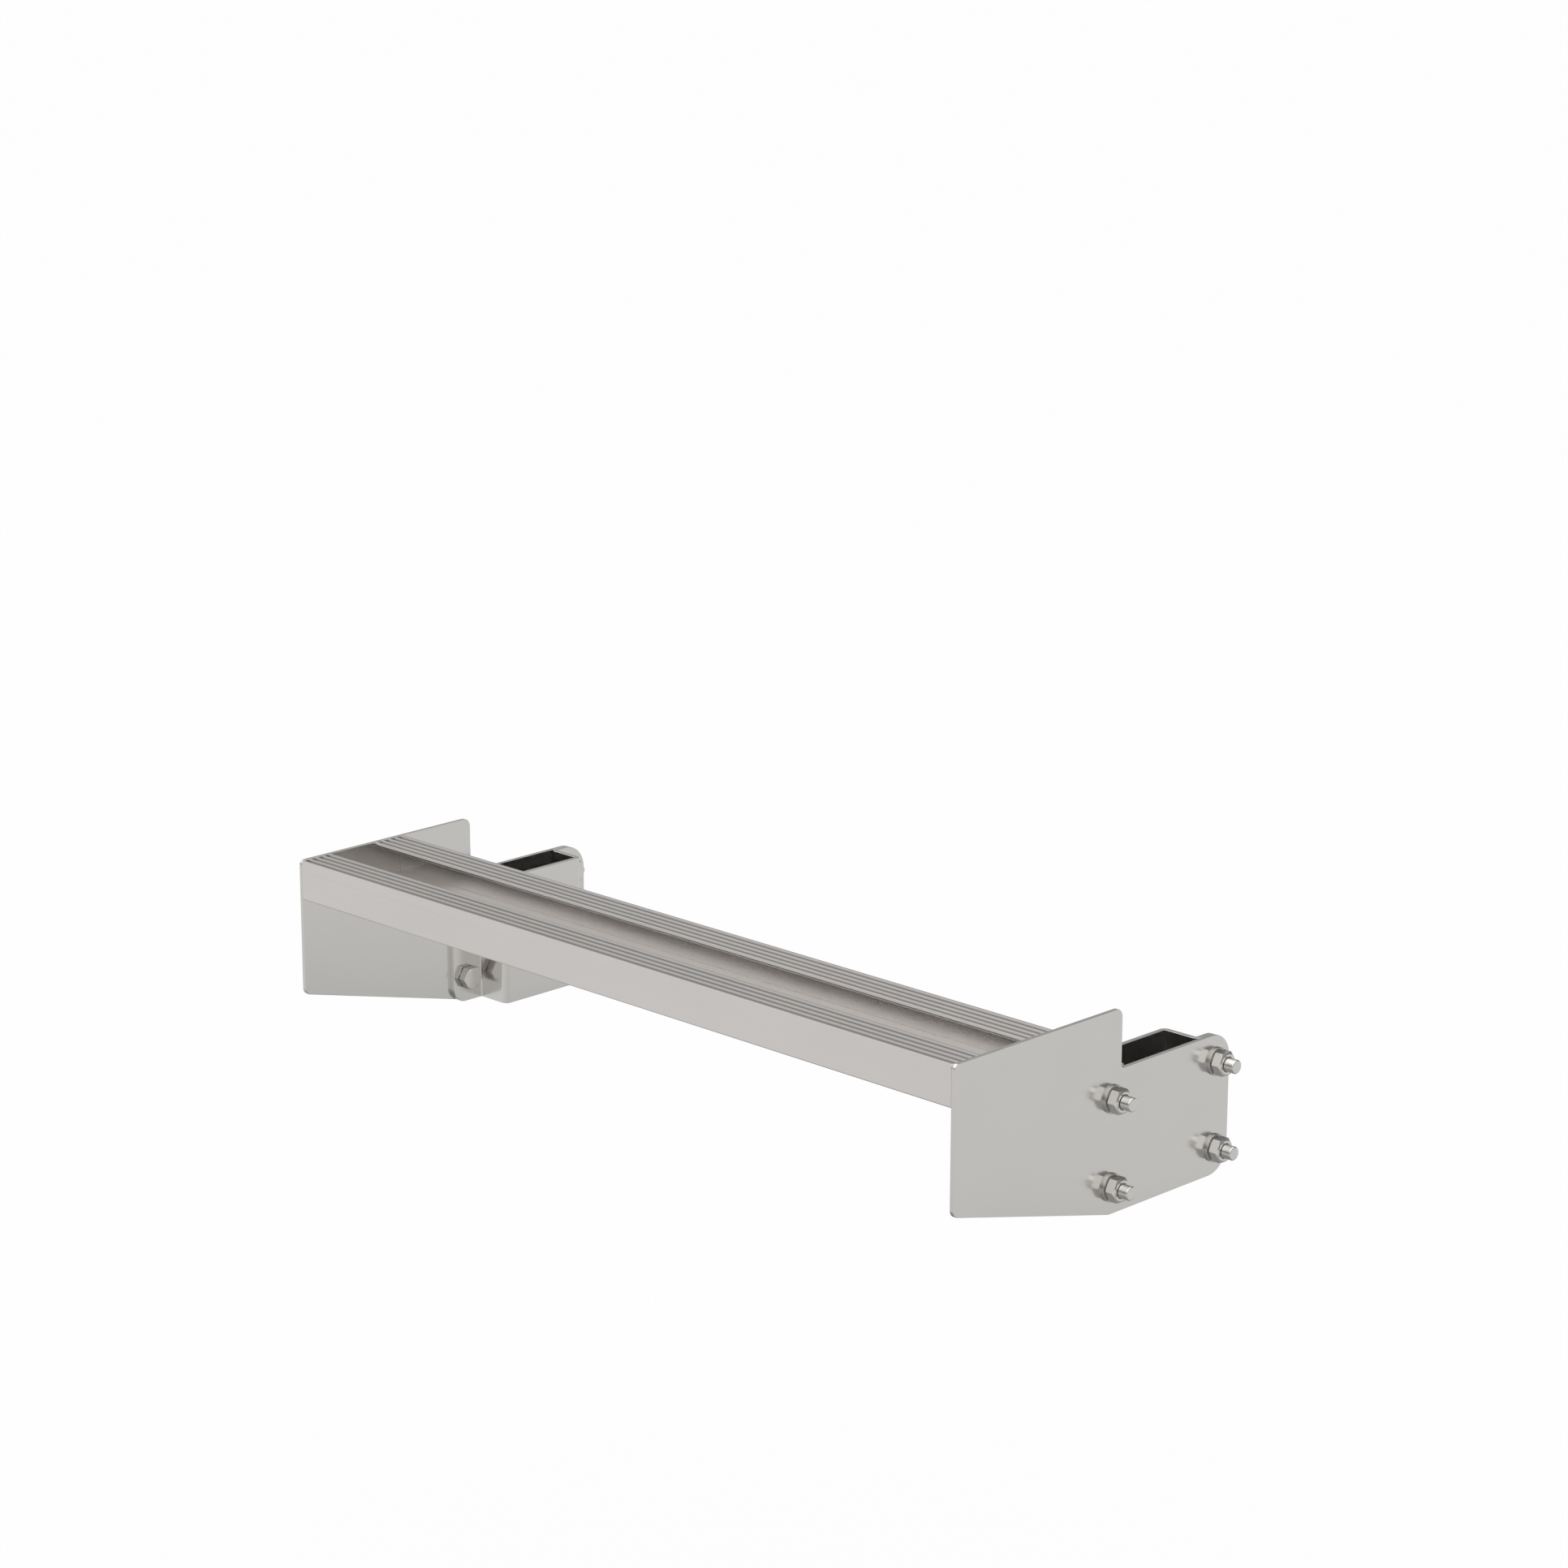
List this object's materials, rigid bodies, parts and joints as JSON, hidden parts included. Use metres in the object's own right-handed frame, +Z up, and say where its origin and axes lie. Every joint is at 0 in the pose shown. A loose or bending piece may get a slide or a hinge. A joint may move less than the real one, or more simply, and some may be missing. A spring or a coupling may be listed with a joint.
{
  "type": "ladder exit step",
  "caption": "Slotted and ribbed channel tread welded between two stepped side plates, each with a bolted hat clamp that grips one stile of a fixed ladder.",
  "frame": {"origin": "midway between the two stile sockets, at half the height of the clamps", "axes": "+X along the tread to its right end as seen from the front, -Y towards the tread's front face, +Z up along the stiles"},
  "size_m": [0.554, 0.2235, 0.115],
  "materials": {
    "tread_aluminium": "satin, as extruded",
    "sheet_aluminium": "satin mill finish",
    "bolt_steel": "bright stainless",
    "weld_metal": "as welded"
  },
  "bodies": {
    "root": {"tread_profile": "tread_aluminium", "left_side_plate": "sheet_aluminium", "right_side_plate": "sheet_aluminium", "left_stile_clamp": "sheet_aluminium", "right_stile_clamp": "sheet_aluminium", "left_front_bolts": "bolt_steel", "left_rear_bolts": "bolt_steel", "right_front_bolts": "bolt_steel", "right_rear_bolts": "bolt_steel", "left_front_washers": "bolt_steel", "left_rear_washers": "bolt_steel", "right_front_washers": "bolt_steel", "right_rear_washers": "bolt_steel", "left_front_nuts": "bolt_steel", "left_rear_nuts": "bolt_steel", "right_front_nuts": "bolt_steel", "right_rear_nuts": "bolt_steel", "left_underside_weld": "weld_metal", "right_underside_weld": "weld_metal", "left_rear_weld": "weld_metal", "right_rear_weld": "weld_metal"}
  },
  "joints": []
}
